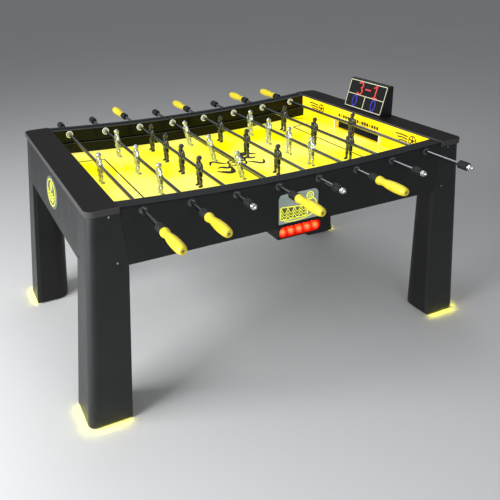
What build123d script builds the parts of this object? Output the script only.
"""Table football table: a splayed four-leg cabinet with a dipped, back-lit playfield and eight rods.

Frame: X along the table, +Y towards the side that the dark team's handles are on, +Z up,
origin on the floor under the middle of the playfield. All sizes are millimetres.
"""
import os
from math import atan2, cos, sin

from build123d import *

os.makedirs("parts", exist_ok=True)

# ---------------------------------------------------------------- overall sizes
top_height = 801            # top of the two end caps
top_half_length = 757       # cabinet under the end caps, middle to outside
top_half_width = 506
foot_splay_x = 89           # the legs lean outwards by these, down to the floor
foot_splay_y = 35
panel_height = 203          # lower edge of the side and end panels under the table's top
dip_radius = 9600           # playfield, rails and rods follow one gentle arc along X

# ---------------------------------------------------------------- rods and play
rod_count = 8
rod_end_gap = 76.5          # last rod to the end cap's inner edge
rod_radius = 6.5
rod_drop = 45.7             # rod axis under the table's top where the arc is lowest
slide_travel = 210          # whole in-and-out travel of a rod
running_clearance = 0.06    # radial, rod in bushing and in rubber buffer
face_gap = 0.5              # between faces that pass or meet in use
buffer_radius = 15
buffer_length = 40
handle_length = 140
handle_radius = 17.5
handle_neck_radius = 12.5
handle_bulb_radius = 15.5
handle_recess = 10
end_stop_radius = 10.5
end_stop_length = 13
end_nut_radius = 5
end_nut_length = 8

figure_foot_drop = 71       # rod axis to the sole of the feet
figure_head_rise = 40       # rod axis to the middle of the head
figure_head_radius = 11
figure_edge_three = 95      # middle of the outermost of three figures to the wall at full travel
figure_edge_four = 93       # the same for four figures
# figures on the rod, handle side (-1 is the light team), slide offset at rest, lean at rest
rods = [
    (1, -1, -25, 0),
    (3, -1, 25, 0),
    (4, 1, 42, 0),
    (3, -1, 32, 12),
    (3, 1, 20, 0),
    (4, -1, 30, 0),
    (3, 1, -4, 0),
    (1, 1, -56, 0),
]

# ---------------------------------------------------------------- cabinet sizes
cap_thickness = 20
cap_overhang = 5
cap_width = 103             # inner edge of the end caps in from the cabinet's end
cap_corner_radius = 30
cap_lip = 8                 # cap thickness left over the goal wall
wall_thickness = 28
side_panel_thickness = 28   # at the top
rail_drop = 25              # top of the rails under the table's top where the arc is lowest
rail_base = 3
rail_lip = 2
rail_lip_width = 26
rail_overhang = 2           # rails past the side panels' faces
rail_ease = 0.8             # chamfer along the rails' upper edges
field_drop = 83.8           # glass surface under the rod axes
glass_thickness = 6
bank_rise = 44.5            # shelf along the foot of the long walls, over the glass
bank_depth = 14
inner_wall_gap = 3          # inner walls from the end panels
goal_wall_thickness = 18
goal_wall_drop = 11         # lower edge of the goal walls over the middle of the light tray's base
goal_clear = 2              # goal wall behind the cap's inner edge
goal_half_width = 156
goal_height = 46
goal_bar = 8
goal_reveal = 5             # hole in the goal wall past the frame's inside
panel_thickness = 18
seam_gap = 0.5
leg_top_depth = 105         # width of each leg face under the cap
leg_knee_depth_x = 136.5
leg_knee_depth_y = 125
leg_foot_depth_x = 156
leg_foot_depth_y = 163
leg_plate = 18
leg_corner_radius = 30
liner_plate = 12
liner_corner_radius = 66
foot_gap = 6                # leg shell over the floor
glide_radius = 30
glide_plate = 12
glide_plate_gap = 3         # plate of the glide inside the leg shell
light_strip_width = 8
light_strip_height = 4
light_strip_inset = 5
light_strip_gap = 0.2       # strip under the leg shell

bushing_radius = 11
bushing_flange_radius = 15.5
bushing_flange = 3
ring_seat = 1               # depth of the flat seat under the outer ring
seat_clearance = 1.5        # radial, round the outer ring
sleeve_clearance = 0.2      # radial, bushing in its hole
ring_thickness = 5.5
ring_bore_radius = 9

tray_pan_depth = 17
tray_pan_floor = 6
tray_pan_rim = 15
pan_gap = 1                 # playfield and light tray from the long walls

ball_radius = 17.4
ball_count = 5
ball_gap = 0.1              # between neighbours in the row
ball_setback = 10.8         # ball centres behind the side panel's lower edge
ball_cover = 5.2            # highest point of the balls under the side panel's lower edge
ball_clearance = 0.3
ball_middle = 6.3           # middle of the row of balls along X
box_left_margin = 6.1       # box past the row of balls
box_right_margin = 37.5
box_sump_length = 89        # deeper part of the box, from its right end
box_depth = 105
box_wall = 2.5
box_front_gap = 0.3         # front plate of the box before the side panel
box_front_rise = 12         # front plate of the box over the side panel's lower edge
box_sump_drop = 54.5        # bottom of the sump under the side panel's lower edge
tray_side_gap = 1           # window and tray past the row of balls, each end
window_over_balls = 7.2     # window's height less the balls' diameter
tray_plate = 1.2

chute_width = 44
chute_height = 22
chute_wall = 3
chute_wall_gap = 4          # channels from the walls beside them
ramp_drop = 9.5             # start of the ramps behind the goals, under the glass's lowest point
ramp_fall = 14
ramp_start_gap = 14         # start of the ramps past the goal's side
ramp_end_gap = 28           # end of the ramps before the middle of the return channels
return_drop = 49.5          # start of the return channels, under the glass's lowest point
return_rise = 8             # end of the return channels over the side panel's lower edge
return_overlap = 10         # return channels past the middle of the ramps
return_landing = 12         # return channels' ends inside the box

score_setback = 40          # foot of the scoreboard behind the end cap's inner edge
score_low_y = -106
score_high_y = 154
score_height = 129          # over the table's top
score_lean = 34
score_back_lean = 6
score_ease = 2
display_margin = 4
display_corner = 3
display_thickness = 2.5

badge_left = -84
badge_right = 81
badge_rise = 14             # lower edge of the badge over the side panel's lower edge
badge_height = 110
badge_thickness = 2
badge_corner = 18
oval_half_width = 88
oval_half_height = 59
oval_rise = 99              # middle of the oval badges over the end panels' lower edge
oval_y = -15

screw_radius = 2
screw_head_radius = 3.5
screw_head_height = 2
screw_length = 16
screw_hole_clearance = 0.2
upper_screw_drop = 8        # upper screws under the end cap
upper_screw_in_x = 67       # in from the cabinet's end and from its side
upper_screw_in_y = 56
lower_screw_rise = 16       # lower screws over the panels' lower edge
lower_screw_in_x = 78
lower_screw_in_y = 94

# ---------------------------------------------------------------- values that follow
cap_bottom = top_height - cap_thickness
panel_bottom = top_height - panel_height
cap_inner_x = top_half_length - cap_width
rod_pitch = 2 * (cap_inner_x - rod_end_gap) / (rod_count - 1)
rod_height = top_height - rod_drop
rail_top = top_height - rail_drop
field_top = rod_height - field_drop
bank_top = field_top + bank_rise
wall_inner_y = top_half_width - side_panel_thickness - wall_thickness
wall_outer_y = wall_inner_y + wall_thickness
rail_outer_y = top_half_width + rail_overhang
goal_face_x = cap_inner_x + goal_clear
end_lean = foot_splay_x / cap_bottom
side_lean = foot_splay_y / cap_bottom
end_angle = atan2(end_lean, 1)
side_angle = atan2(side_lean, 1)
rail_bottom = rail_top - rail_lip - rail_base
glass_under = field_top - glass_thickness
seat_y = top_half_width - ring_seat
ring_face_y = seat_y + ring_thickness
buffer_start = ring_face_y + face_gap + slide_travel / 2
buffer_end = buffer_start + buffer_length
handle_start = buffer_end + face_gap
handle_end = handle_start + handle_length


def rise(x):
    """Height of the arc over its lowest point."""
    return dip_radius - (dip_radius**2 - x**2) ** 0.5


def half_length_at(z):
    """Outside of the end faces at a height."""
    return top_half_length + (cap_bottom - z) * end_lean


def half_width_at(z):
    """Outside of the long faces at a height."""
    return top_half_width + (cap_bottom - z) * side_lean


def rod_place(index):
    """X and Z of one rod's axis."""
    x = (index - (rod_count - 1) / 2) * rod_pitch
    return x, rod_height + rise(x)


def save(part, name):
    """Label a finished piece and write it."""
    part.label = name
    export_step(part, f"parts/{name}.step")


def joined(*parts):
    """One piece of several parts."""
    with BuildPart() as group:
        for part in parts:
            add(part)
    return group.part


def mirrored(part, *planes):
    """Copy of a part mirrored about each plane in turn."""
    for plane in planes:
        part = mirror(part, about=plane)
    return part


def both_sides(part, plane):
    """A part and its mirror image."""
    return joined(part, mirrored(part, plane))


def dipped_slab(half_length, low, high, y_from, y_to):
    """Slab between two arcs that dip in the middle."""
    with BuildPart() as slab:
        with BuildSketch(Plane.XZ.offset(-y_to)):
            with BuildLine():
                end_rise = rise(half_length)
                ThreePointArc((-half_length, low + end_rise), (0, low), (half_length, low + end_rise))
                Line((half_length, low + end_rise), (half_length, high + end_rise))
                ThreePointArc((half_length, high + end_rise), (0, high), (-half_length, high + end_rise))
                Line((-half_length, high + end_rise), (-half_length, low + end_rise))
            make_face()
        extrude(amount=y_to - y_from)
    return slab.part


def rod_holes(y_from, y_to, radius):
    """One cylinder for each rod, across a long wall."""
    with BuildPart() as holes:
        for index in range(rod_count):
            x, z = rod_place(index)
            with BuildSketch(Plane.XZ.offset(-y_to)):
                with Locations((x, z)):
                    Circle(radius)
            extrude(amount=y_to - y_from)
    return holes.part


# ================================================================ legs
def leg_section(z, depth_x, depth_y):
    """Corner points of a leg at one height: inner X, inner Y, outer X, outer Y."""
    outer_x = half_length_at(z)
    outer_y = half_width_at(z)
    return outer_x - depth_x, outer_y - depth_y, outer_x, outer_y


leg_levels = [
    (foot_gap, leg_foot_depth_x, leg_foot_depth_y),
    (panel_bottom, leg_knee_depth_x, leg_knee_depth_y),
    (cap_bottom, leg_top_depth, leg_top_depth),
]


def leg_screw_planes():
    """Screw places on the two outside faces of the back right-hand leg, facing outwards."""
    end_normal = (cos(end_angle), 0, sin(end_angle))
    side_normal = (0, cos(side_angle), sin(side_angle))
    places = []
    for z, in_x, in_y in [
        (cap_bottom - upper_screw_drop, upper_screw_in_x, upper_screw_in_y),
        (panel_bottom + lower_screw_rise, lower_screw_in_x, lower_screw_in_y),
    ]:
        on_end = (half_length_at(z), top_half_width - in_y, z)
        on_side = (top_half_length - in_x, half_width_at(z), z)
        places.append(Plane(origin=on_end, x_dir=(0, 1, 0), z_dir=end_normal))
        places.append(Plane(origin=on_side, x_dir=(1, 0, 0), z_dir=side_normal))
    return places


with BuildPart() as screw_cutter:
    for place in leg_screw_planes():
        with BuildSketch(place):
            Circle(screw_radius + screw_hole_clearance)
        extrude(amount=-(screw_length + 1))

with BuildPart() as leg:
    for z, depth_x, depth_y in leg_levels:
        inner_x, inner_y, outer_x, outer_y = leg_section(z, depth_x, depth_y)
        with BuildSketch(Plane.XY.offset(z)):
            with BuildLine():
                corner = leg_corner_radius
                Line((inner_x, outer_y), (outer_x - corner, outer_y))
                RadiusArc((outer_x - corner, outer_y), (outer_x, outer_y - corner), corner)
                Line((outer_x, outer_y - corner), (outer_x, inner_y))
                Line((outer_x, inner_y), (outer_x - leg_plate, inner_y))
                Line((outer_x - leg_plate, inner_y), (outer_x - leg_plate, outer_y - leg_plate))
                Line((outer_x - leg_plate, outer_y - leg_plate), (inner_x, outer_y - leg_plate))
                Line((inner_x, outer_y - leg_plate), (inner_x, outer_y))
            make_face()
    loft(ruled=True)
    add(screw_cutter.part, mode=Mode.SUBTRACT)

with BuildPart() as liner:
    for z, depth_x, depth_y in leg_levels[:2]:
        inner_x, inner_y, outer_x, outer_y = leg_section(z, depth_x, depth_y)
        far_x = outer_x - leg_plate - seam_gap
        far_y = outer_y - leg_plate - seam_gap
        bend = liner_corner_radius
        inside = bend - liner_plate
        with BuildSketch(Plane.XY.offset(z)):
            with BuildLine():
                Line((far_x, inner_y), (inner_x + bend, inner_y))
                RadiusArc((inner_x + bend, inner_y), (inner_x, inner_y + bend), bend)
                Line((inner_x, inner_y + bend), (inner_x, far_y))
                Line((inner_x, far_y), (inner_x + liner_plate, far_y))
                Line((inner_x + liner_plate, far_y), (inner_x + liner_plate, inner_y + bend))
                RadiusArc(
                    (inner_x + liner_plate, inner_y + bend), (inner_x + bend, inner_y + liner_plate), -inside
                )
                Line((inner_x + bend, inner_y + liner_plate), (far_x, inner_y + liner_plate))
                Line((far_x, inner_y + liner_plate), (far_x, inner_y))
            make_face()
    loft(ruled=True)

with BuildPart() as leg_screws:
    for place in leg_screw_planes():
        with BuildSketch(place):
            Circle(screw_radius)
        extrude(amount=-screw_length)
        with BuildSketch(place):
            Circle(screw_head_radius)
        extrude(amount=screw_head_height)

foot_inner_x, foot_inner_y, foot_outer_x, foot_outer_y = leg_section(*leg_levels[0])
glide_x = (foot_inner_x + foot_outer_x) / 2
glide_y = (foot_inner_y + foot_outer_y) / 2

with BuildPart() as glide:
    with BuildSketch(Plane.XY):
        with Locations((glide_x, glide_y)):
            Circle(glide_radius)
    extrude(amount=foot_gap)
    plate_low_x = foot_inner_x + liner_plate + glide_plate_gap
    plate_low_y = foot_inner_y + liner_plate + glide_plate_gap
    plate_high_x = foot_outer_x - leg_plate - glide_plate_gap
    plate_high_y = foot_outer_y - leg_plate - glide_plate_gap
    with BuildSketch(Plane.XY.offset(foot_gap)) as plate_outline:
        with Locations(((plate_low_x + plate_high_x) / 2, (plate_low_y + plate_high_y) / 2)):
            Rectangle(plate_high_x - plate_low_x, plate_high_y - plate_low_y)
        inner_corner = plate_outline.vertices().sort_by_distance((plate_low_x, plate_low_y, 0))[0]
        chamfer(inner_corner, length=0.6 * liner_corner_radius)
    extrude(amount=glide_plate)

with BuildPart() as foot_light:
    strip_x = foot_outer_x - light_strip_inset
    strip_y = foot_outer_y - light_strip_inset
    strip_in_x = strip_x - light_strip_width
    strip_in_y = strip_y - light_strip_width
    start_x = foot_inner_x + light_strip_inset
    start_y = foot_inner_y + light_strip_inset
    bend = leg_corner_radius
    inside = bend - light_strip_width
    with BuildSketch(Plane.XY.offset(foot_gap - light_strip_height - light_strip_gap)):
        with BuildLine():
            Line((start_x, strip_y), (strip_x - bend, strip_y))
            RadiusArc((strip_x - bend, strip_y), (strip_x, strip_y - bend), bend)
            Line((strip_x, strip_y - bend), (strip_x, start_y))
            Line((strip_x, start_y), (strip_in_x, start_y))
            Line((strip_in_x, start_y), (strip_in_x, strip_y - bend))
            RadiusArc((strip_in_x, strip_y - bend), (strip_x - bend, strip_in_y), -inside)
            Line((strip_x - bend, strip_in_y), (start_x, strip_in_y))
            Line((start_x, strip_in_y), (start_x, strip_y))
        make_face()
    extrude(amount=light_strip_height)

corners = {
    "back_right": [],
    "back_left": [Plane.YZ],
    "front_right": [Plane.XZ],
    "front_left": [Plane.YZ, Plane.XZ],
}


def four_corners(part):
    """One copy of a corner piece on each leg."""
    return joined(*[mirrored(part, *planes) for planes in corners.values()])


for corner_name, planes in corners.items():
    save(joined(mirrored(leg.part, *planes)), f"leg_{corner_name}")
save(four_corners(liner.part), "leg_liners")
save(four_corners(glide.part), "foot_glides")
save(four_corners(foot_light.part), "foot_lights")
save(four_corners(leg_screws.part), "cabinet_screws")

# ================================================================ side panels
seat_holes = rod_holes(seat_y, top_half_width + foot_splay_y, bushing_flange_radius + seat_clearance)
sleeve_holes = rod_holes(wall_inner_y - 1, top_half_width + 1, bushing_radius + sleeve_clearance)

panel_top_x = top_half_length - leg_top_depth - seam_gap
panel_low_x = half_length_at(panel_bottom) - leg_knee_depth_x - seam_gap

with BuildPart() as side_panel:
    with BuildSketch(Plane.YZ):
        with BuildLine():
            Polyline(
                (wall_outer_y, panel_bottom),
                (half_width_at(panel_bottom), panel_bottom),
                (half_width_at(top_height), top_height),
                (wall_outer_y, top_height),
                close=True,
            )
        make_face()
    extrude(amount=panel_top_x, both=True)
    with BuildSketch(Plane.XZ):
        with BuildLine():
            crest = rail_bottom + rise(panel_top_x)
            Line((-panel_low_x, panel_bottom), (panel_low_x, panel_bottom))
            Line((panel_low_x, panel_bottom), (panel_top_x, crest))
            ThreePointArc((panel_top_x, crest), (0, rail_bottom), (-panel_top_x, crest))
            Line((-panel_top_x, crest), (-panel_low_x, panel_bottom))
        make_face()
    extrude(amount=2 * top_half_width, both=True, mode=Mode.INTERSECT)
    add(seat_holes, mode=Mode.SUBTRACT)
    add(sleeve_holes, mode=Mode.SUBTRACT)

save(joined(side_panel.part), "side_panel_back")
save(joined(mirrored(side_panel.part, Plane.XZ)), "side_panel_front")

# ================================================================ inner walls
inner_wall_half = top_half_length - leg_plate - inner_wall_gap
bank = dipped_slab(cap_inner_x, field_top + 1, bank_top, wall_inner_y - bank_depth, wall_inner_y)
with BuildPart() as inner_wall:
    with BuildSketch(Plane.XZ.offset(-wall_outer_y)):
        with BuildLine():
            shoulder = cap_inner_x - 1
            crest = rail_bottom + rise(shoulder)
            Line((-inner_wall_half, panel_bottom), (inner_wall_half, panel_bottom))
            Line((inner_wall_half, panel_bottom), (inner_wall_half, cap_bottom))
            Line((inner_wall_half, cap_bottom), (shoulder, cap_bottom))
            Line((shoulder, cap_bottom), (shoulder, crest))
            ThreePointArc((shoulder, crest), (0, rail_bottom), (-shoulder, crest))
            Line((-shoulder, crest), (-shoulder, cap_bottom))
            Line((-shoulder, cap_bottom), (-inner_wall_half, cap_bottom))
            Line((-inner_wall_half, cap_bottom), (-inner_wall_half, panel_bottom))
        make_face()
    extrude(amount=wall_thickness)
    add(bank)
    add(sleeve_holes, mode=Mode.SUBTRACT)
save(both_sides(inner_wall.part, Plane.XZ), "inner_walls")

# ================================================================ top rails
rail_half = cap_inner_x - face_gap
lip_bottom = rail_bottom + rail_base
rail_web = dipped_slab(rail_half, rail_bottom, lip_bottom, wall_inner_y, rail_outer_y)
rail_edge = dipped_slab(rail_half, lip_bottom, rail_top, rail_outer_y - rail_lip_width, rail_outer_y)
with BuildPart() as top_rail:
    add(rail_web)
    add(rail_edge)
    chamfer(top_rail.edges().filter_by(GeomType.CIRCLE).group_by(Axis.Z)[-1], length=rail_ease)
save(both_sides(top_rail.part, Plane.XZ), "top_rails")

# ================================================================ end panels
end_top_y = top_half_width - leg_top_depth - seam_gap
end_low_y = half_width_at(panel_bottom) - leg_knee_depth_y - seam_gap
with BuildPart() as end_panel:
    with BuildSketch(Plane.XZ):
        with BuildLine():
            low_x = half_length_at(panel_bottom)
            Polyline(
                (low_x - panel_thickness, panel_bottom),
                (low_x, panel_bottom),
                (top_half_length, cap_bottom),
                (top_half_length - panel_thickness, cap_bottom),
                close=True,
            )
        make_face()
    extrude(amount=end_top_y + 1, both=True)
    with BuildSketch(Plane.YZ):
        with BuildLine():
            Polyline(
                (-end_low_y, panel_bottom),
                (end_low_y, panel_bottom),
                (end_top_y, cap_bottom),
                (-end_top_y, cap_bottom),
                close=True,
            )
        make_face()
    extrude(amount=2 * top_half_length, both=True, mode=Mode.INTERSECT)

save(both_sides(end_panel.part, Plane.YZ), "end_panels")

# ================================================================ end caps
with BuildPart() as end_cap:
    with BuildSketch(Plane.XY.offset(cap_bottom)):
        cap_length = top_half_length + cap_overhang - cap_inner_x
        with Locations((cap_inner_x + cap_length / 2, 0)):
            Rectangle(cap_length, 2 * (top_half_width + cap_overhang))
    extrude(amount=cap_thickness)
    fillet(end_cap.edges().filter_by(Axis.Z).group_by(Axis.X)[-1], radius=cap_corner_radius)
    with BuildSketch(Plane.XY.offset(cap_bottom)):
        rebate = goal_clear + goal_wall_thickness + 1
        with Locations((cap_inner_x + rebate / 2, 0)):
            Rectangle(rebate, 2 * wall_inner_y)
    extrude(amount=cap_thickness - cap_lip, mode=Mode.SUBTRACT)
    chamfer(end_cap.faces().sort_by(Axis.Z)[-1].edges(), length=1.5)

save(joined(end_cap.part), "end_cap_right")
save(joined(mirrored(end_cap.part, Plane.YZ)), "end_cap_left")

# ================================================================ goal walls and goal frames
goal_sill = field_top + rise(goal_face_x)
with BuildPart() as goal_wall:
    wall_low = glass_under - tray_pan_depth + goal_wall_drop
    wall_high = top_height - cap_lip
    with BuildSketch(Plane.YZ.offset(goal_face_x)):
        with Locations((0, (wall_low + wall_high) / 2)):
            Rectangle(2 * (wall_inner_y - face_gap), wall_high - wall_low)
        with Locations((0, goal_sill + (goal_height + goal_reveal) / 2)):
            Rectangle(2 * (goal_half_width + goal_reveal), goal_height + goal_reveal, mode=Mode.SUBTRACT)
    extrude(amount=goal_wall_thickness)
save(both_sides(goal_wall.part, Plane.YZ), "goal_walls")

with BuildPart() as goal_frame:
    frame_low = goal_sill + 1
    frame_high = goal_sill + goal_height + goal_bar
    with BuildSketch(Plane.YZ.offset(goal_face_x - goal_bar)):
        with Locations((0, (frame_low + frame_high) / 2)):
            Rectangle(2 * (goal_half_width + goal_bar), frame_high - frame_low)
        with Locations((0, (frame_low + frame_high) / 2 - goal_bar)):
            Rectangle(2 * goal_half_width, frame_high - frame_low, mode=Mode.SUBTRACT)
    extrude(amount=goal_bar)
    fillet(goal_frame.edges().filter_by(Axis.X).group_by(Axis.Z)[-1], radius=goal_bar / 2)
save(both_sides(goal_frame.part, Plane.YZ), "goal_frames")

# ================================================================ playfield and its light tray
pan_half_y = wall_inner_y - pan_gap
save(dipped_slab(cap_inner_x, glass_under, field_top, -pan_half_y, pan_half_y), "playfield_glass")

pan_low = glass_under - tray_pan_depth
hollow_x = cap_inner_x - tray_pan_rim
hollow_y = pan_half_y - tray_pan_rim
pan_block = dipped_slab(cap_inner_x, pan_low, glass_under, -pan_half_y, pan_half_y)
pan_hollow = dipped_slab(hollow_x, pan_low + tray_pan_floor, glass_under + 1, -hollow_y, hollow_y)
with BuildPart() as light_tray:
    add(pan_block)
    add(pan_hollow, mode=Mode.SUBTRACT)
save(light_tray.part, "light_tray")

# ================================================================ rod bushings
with BuildPart() as bushing_row:
    for index in range(rod_count):
        x, z = rod_place(index)
        with BuildSketch(Plane.XZ.offset(-(wall_inner_y - bushing_flange))):
            with Locations((x, z)):
                Circle(bushing_radius)
                Circle(rod_radius + running_clearance, mode=Mode.SUBTRACT)
        extrude(amount=-(seat_y - wall_inner_y + bushing_flange))
        with BuildSketch(Plane.XZ.offset(-(wall_inner_y - bushing_flange))):
            with Locations((x, z)):
                Circle(bushing_flange_radius)
                Circle(rod_radius + running_clearance, mode=Mode.SUBTRACT)
        extrude(amount=-bushing_flange)
save(both_sides(bushing_row.part, Plane.XZ), "rod_bushings")

with BuildPart() as ring_row:
    for index in range(rod_count):
        x, z = rod_place(index)
        with BuildSketch(Plane.XZ.offset(-seat_y)):
            with Locations((x, z)):
                Circle(bushing_flange_radius)
                Circle(ring_bore_radius, mode=Mode.SUBTRACT)
        extrude(amount=-ring_thickness)
save(both_sides(ring_row.part, Plane.XZ), "bushing_rings")

# ================================================================ ball return
ball_line_y = -(half_width_at(panel_bottom) - ball_setback)
ball_pitch = 2 * ball_radius + ball_gap
ball_floor = panel_bottom - ball_cover - 2 * ball_radius
row_half = (ball_count - 1) / 2 * ball_pitch + ball_radius
window_height = 2 * ball_radius + window_over_balls
tray_top = ball_floor - ball_clearance
shallow_bottom = tray_top - tray_plate - box_wall
box_front = -(half_width_at(panel_bottom) + box_front_gap + box_wall)
box_middle_y = box_front + box_depth / 2
box_left = ball_middle - row_half - box_left_margin
box_right = ball_middle + row_half + box_right_margin
box_parts = [(box_left, shallow_bottom), (box_right - box_sump_length, panel_bottom - box_sump_drop)]

with BuildPart() as ball_box:
    for left, bottom in box_parts:
        with BuildSketch(Plane.XY.offset(bottom)):
            with Locations(((left + box_right) / 2, box_middle_y)):
                Rectangle(box_right - left, box_depth)
        extrude(amount=panel_bottom - bottom)
    with BuildSketch(Plane.XY.offset(shallow_bottom)):
        with Locations(((box_left + box_right) / 2, box_front + box_wall / 2)):
            Rectangle(box_right - box_left, box_wall)
    extrude(amount=panel_bottom + box_front_rise - shallow_bottom)
    front_corners = ball_box.edges().filter_by(Axis.Z).group_by(Axis.Y)[0].group_by(Axis.X)
    fillet(front_corners[0] + front_corners[-1], radius=box_wall - 0.5)
    for left, bottom in box_parts:
        with BuildSketch(Plane.XY.offset(bottom + box_wall)):
            with Locations(((left + box_right) / 2, box_middle_y)):
                Rectangle(box_right - left - 2 * box_wall, box_depth - 2 * box_wall)
        extrude(amount=panel_bottom - bottom, mode=Mode.SUBTRACT)
    with BuildSketch(Plane.XZ.offset(-(box_front + 2 * box_wall))):
        with Locations((ball_middle, tray_top + window_height / 2)):
            RectangleRounded(2 * (row_half + tray_side_gap), window_height, ball_radius)
    extrude(amount=4 * box_wall, mode=Mode.SUBTRACT)
save(ball_box.part, "ball_box")

with BuildPart() as ball_tray:
    tray_half = row_half + tray_side_gap + tray_plate
    tray_front = box_front + box_wall + face_gap
    tray_back = ball_line_y + ball_radius + 4
    with BuildSketch(Plane.YZ.offset(ball_middle)):
        with BuildLine():
            Polyline(
                (tray_front, tray_top - tray_plate),
                (tray_back, tray_top - tray_plate),
                (tray_back, panel_bottom - face_gap),
                (tray_back - tray_plate, panel_bottom - face_gap),
                (tray_back - tray_plate, tray_top),
                (tray_front, tray_top),
                close=True,
            )
        make_face()
    extrude(amount=tray_half, both=True)
    for side in (-1, 1):
        with BuildSketch(Plane.YZ.offset(ball_middle + side * (tray_half - tray_plate / 2))):
            with Locations(((tray_front + tray_back) / 2, (tray_top + panel_bottom - face_gap) / 2)):
                Rectangle(tray_back - tray_front, panel_bottom - face_gap - tray_top)
        extrude(amount=tray_plate / 2, both=True)
save(ball_tray.part, "ball_tray")

with BuildPart() as game_balls:
    for index in range(ball_count):
        along = ball_middle + (index - (ball_count - 1) / 2) * ball_pitch
        with Locations((along, ball_line_y, ball_floor + ball_radius)):
            Sphere(ball_radius)
save(game_balls.part, "game_balls")


def channel(start, end):
    """Open-topped channel between two points on its floor."""
    run = Vector(*end) - Vector(*start)
    side = Vector(0, 0, 1).cross(run)
    with BuildPart() as trough:
        with BuildSketch(Plane(origin=start, x_dir=side, z_dir=run)):
            with Locations((0, chute_height / 2 - chute_wall)):
                Rectangle(chute_width, chute_height)
            with Locations((0, chute_height / 2)):
                Rectangle(chute_width - 2 * chute_wall, chute_height, mode=Mode.SUBTRACT)
        extrude(amount=run.length)
    return trough.part


ramp_half_x = goal_face_x + goal_wall_thickness + chute_wall_gap + chute_width / 2
chute_y = -(wall_inner_y - chute_wall_gap - chute_width / 2)
ramp_high = field_top - ramp_drop
return_high = field_top - return_drop
return_low = panel_bottom + return_rise
chutes = []
for side, landing in [(-1, box_left + return_landing), (1, box_right - return_landing)]:
    ramp_x = side * ramp_half_x
    ramp_start = (ramp_x, goal_half_width + ramp_start_gap, ramp_high)
    ramp_end = (ramp_x, chute_y + ramp_end_gap, ramp_high - ramp_fall)
    return_start = (ramp_x + side * return_overlap, chute_y, return_high)
    chutes.append(channel(ramp_start, ramp_end))
    chutes.append(channel(return_start, (landing, chute_y, return_low)))
save(joined(*chutes), "ball_chutes")

# ================================================================ scoreboard
score_front_x = cap_inner_x + score_setback
score_back_x = top_half_length
score_top = top_height + score_height
with BuildPart() as scoreboard_case:
    with BuildSketch(Plane.XZ.offset(-score_high_y)):
        with BuildLine():
            Polyline(
                (score_front_x, top_height),
                (score_back_x, top_height),
                (score_back_x - score_back_lean, score_top),
                (score_front_x + score_lean, score_top),
                close=True,
            )
        make_face()
    extrude(amount=score_high_y - score_low_y)
    chamfer(scoreboard_case.edges().filter_by(Axis.Y).group_by(Axis.Z)[-1], length=score_ease)
save(scoreboard_case.part, "scoreboard_case")

with BuildPart() as scoreboard_display:
    slope = Vector(score_lean, 0, score_height)
    normal = Vector(-score_height, 0, score_lean)
    middle = (score_front_x + score_lean / 2, (score_low_y + score_high_y) / 2, top_height + score_height / 2)
    display_width = score_high_y - score_low_y - 2 * display_margin
    with BuildSketch(Plane(origin=middle, x_dir=(0, -1, 0), z_dir=normal)):
        RectangleRounded(display_width, slope.length - 2 * display_margin, display_corner)
    extrude(amount=display_thickness)
save(scoreboard_display.part, "scoreboard_display")

# ================================================================ badge plates
badge_mid_z = panel_bottom + badge_rise + badge_height / 2
oval_z = panel_bottom + oval_rise
with BuildPart() as badge_plates:
    origin = ((badge_left + badge_right) / 2, -half_width_at(badge_mid_z), badge_mid_z)
    front_normal = (0, -cos(side_angle), sin(side_angle))
    with BuildSketch(Plane(origin=origin, x_dir=(1, 0, 0), z_dir=front_normal)) as badge_outline:
        Rectangle(badge_right - badge_left, badge_height)
        fillet(badge_outline.vertices().group_by(Axis.Y)[-1], radius=badge_corner)
    extrude(amount=badge_thickness)
    for side in (-1, 1):
        end_normal = (side * cos(end_angle), 0, sin(end_angle))
        oval_middle = (side * half_length_at(oval_z), oval_y, oval_z)
        with BuildSketch(Plane(origin=oval_middle, x_dir=(0, 1, 0), z_dir=end_normal)):
            Ellipse(oval_half_width, oval_half_height)
        extrude(amount=badge_thickness)
save(badge_plates.part, "badge_plates")

# ================================================================ figures
hip_radius = 12
hip_width = 22
torso_low = -12
torso_high = 27
torso_depth = 17
torso_corner = 4
shoulder_width = 34
neck_radius = 6
arm_thickness = 8
elbow_reach = 23
leg_spread = 12.5
thigh_depth = 14
thigh_width = 13
shin_size = 10
limb_corner = 3
foot_length = 20
foot_height = 8
foot_forward = 1            # middle of the foot before the rod's axis

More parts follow.
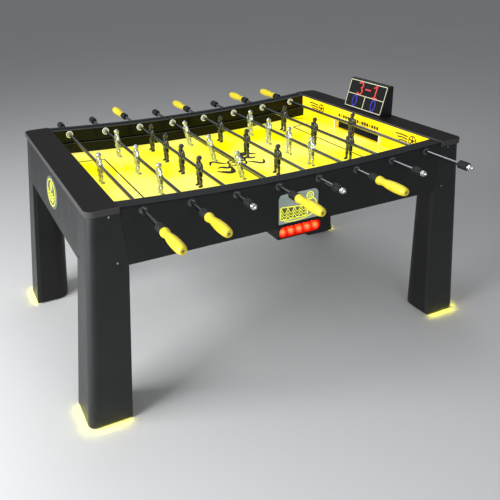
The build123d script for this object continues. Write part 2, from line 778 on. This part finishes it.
with BuildPart() as figure:
    with BuildSketch(Plane.XY.offset(torso_low)):
        RectangleRounded(torso_depth, hip_width, torso_corner)
    with BuildSketch(Plane.XY.offset(torso_high)):
        RectangleRounded(torso_depth - 3, shoulder_width, torso_corner)
    loft()
    with BuildSketch(Plane.XZ.offset(-hip_width / 2)):
        Circle(hip_radius)
    extrude(amount=hip_width)
    with BuildSketch(Plane.XY.offset(torso_high - 1)):
        Circle(neck_radius)
    extrude(amount=figure_head_rise - torso_high)
    with Locations((0, 0, figure_head_rise)):
        Sphere(figure_head_radius)
    for side in (-1, 1):
        # arm: shoulder, elbow and the hand on the hip
        with BuildSketch(Plane.YZ.offset(-arm_thickness / 2)):
            with BuildLine():
                Polyline(
                    (side * (shoulder_width / 2 - 5), torso_high),
                    (side * (shoulder_width / 2), torso_high - 2),
                    (side * elbow_reach, 10),
                    (side * (hip_width / 2 + 1), -3),
                    (side * (hip_width / 2 - 1), 3),
                    (side * (elbow_reach - 6), 10),
                    close=True,
                )
            make_face()
        extrude(amount=arm_thickness)
        with BuildSketch(Plane.XY.offset(torso_low + 4)):
            with Locations((0, side * hip_width / 4)):
                RectangleRounded(thigh_depth, thigh_width, limb_corner)
        with BuildSketch(Plane.XY.offset(-figure_foot_drop + foot_height)):
            with Locations((0, side * leg_spread)):
                RectangleRounded(shin_size, shin_size, limb_corner)
        loft()
        with BuildSketch(Plane.XY.offset(-figure_foot_drop)):
            with Locations((foot_forward, side * leg_spread)):
                RectangleRounded(foot_length, shin_size + 2, limb_corner)
        extrude(amount=foot_height + 1)
    with BuildSketch(Plane.XZ.offset(-2 * elbow_reach)):
        Circle(rod_radius)
    extrude(amount=4 * elbow_reach, mode=Mode.SUBTRACT)


def figure_places(count):
    """Places of the figures along a rod, spread so that the outermost stay clear of the walls."""
    if count == 1:
        return [0]
    edge = figure_edge_four if count == 4 else figure_edge_three
    outermost = wall_inner_y - slide_travel / 2 - edge
    return [outermost * (2 * number / (count - 1) - 1) for number in range(count)]


# ================================================================ rods
def turned(x, z, points):
    """Round piece on a rod from (distance along the rod, radius) corner points."""
    with BuildPart() as piece:
        with BuildSketch(Plane(origin=(x, 0, z), x_dir=(0, 1, 0), z_dir=(-1, 0, 0))):
            with BuildLine():
                Polyline(*points, close=True)
            make_face()
        revolve(axis=Axis((x, 0, z), (0, 1, 0)))
    return piece.part


def at(points, side, offset):
    """Profile points moved to one side of the rod and to its place at rest."""
    return [(side * along + offset, radius) for along, radius in points]


handle_profile = [
    # bulb next to the rod, neck, long belly and a rounded end with a bolt recess
    (handle_start, rod_radius),
    (handle_start, handle_bulb_radius - 3),
    (handle_start + 4, handle_bulb_radius),
    (handle_start + 12, handle_bulb_radius),
    (handle_start + 28, handle_neck_radius),
    (handle_start + 62, handle_radius - 1),
    (handle_start + 84, handle_radius),
    (handle_end - 26, handle_radius - 1),
    (handle_end - 6, handle_radius - 4),
    (handle_end, handle_radius - 8),
    (handle_end, 4),
    (handle_end - handle_recess, 4),
    (handle_end - handle_recess, rod_radius),
]

stop_start = buffer_end + face_gap
stop_end = stop_start + end_stop_length
nut_end = stop_end + end_nut_length
bar_short_end = stop_end - end_stop_length / 3
bar_grip_end = handle_end - handle_recess - face_gap
stop_profile = [
    (stop_start, rod_radius),
    (stop_start, end_stop_radius),
    (stop_end - 1.5, end_stop_radius),
    (stop_end, end_stop_radius - 1.5),
    (stop_end, end_nut_radius),
    (nut_end - 1, end_nut_radius),
    (nut_end, end_nut_radius - 1),
    (nut_end, 0),
    (bar_short_end, 0),
    (bar_short_end, rod_radius),
]

buffer_bore = rod_radius + running_clearance
buffer_profile = [
    (buffer_start, buffer_bore),
    (buffer_start, buffer_radius - 1),
    (buffer_start + 1, buffer_radius),
    (buffer_end - 1, buffer_radius),
    (buffer_end, buffer_radius - 1),
    (buffer_end, buffer_bore),
]

for index, (count, handle_side, offset, lean) in enumerate(rods):
    x, z = rod_place(index)
    name = f"rod_{index + 1}"
    bar_low, bar_high = sorted([handle_side * bar_grip_end + offset, -handle_side * bar_short_end + offset])
    shaft = turned(x, z, [(bar_low, 0), (bar_low, rod_radius), (bar_high, rod_radius), (bar_high, 0)])
    stop = turned(x, z, at(stop_profile, -handle_side, offset))
    save(joined(shaft, stop), f"{name}_bar")
    save(turned(x, z, at(handle_profile, handle_side, offset)), f"{name}_handle")
    buffers = [turned(x, z, at(buffer_profile, side, offset)) for side in (-1, 1)]
    save(joined(*buffers), f"{name}_buffers")

    facing = 0 if handle_side < 0 else 180
    with BuildPart() as figures:
        for along in figure_places(count):
            with Locations(Location((x, along + offset, z), (0, -lean, facing))):
                add(figure.part)
    save(figures.part, f"{name}_figures")
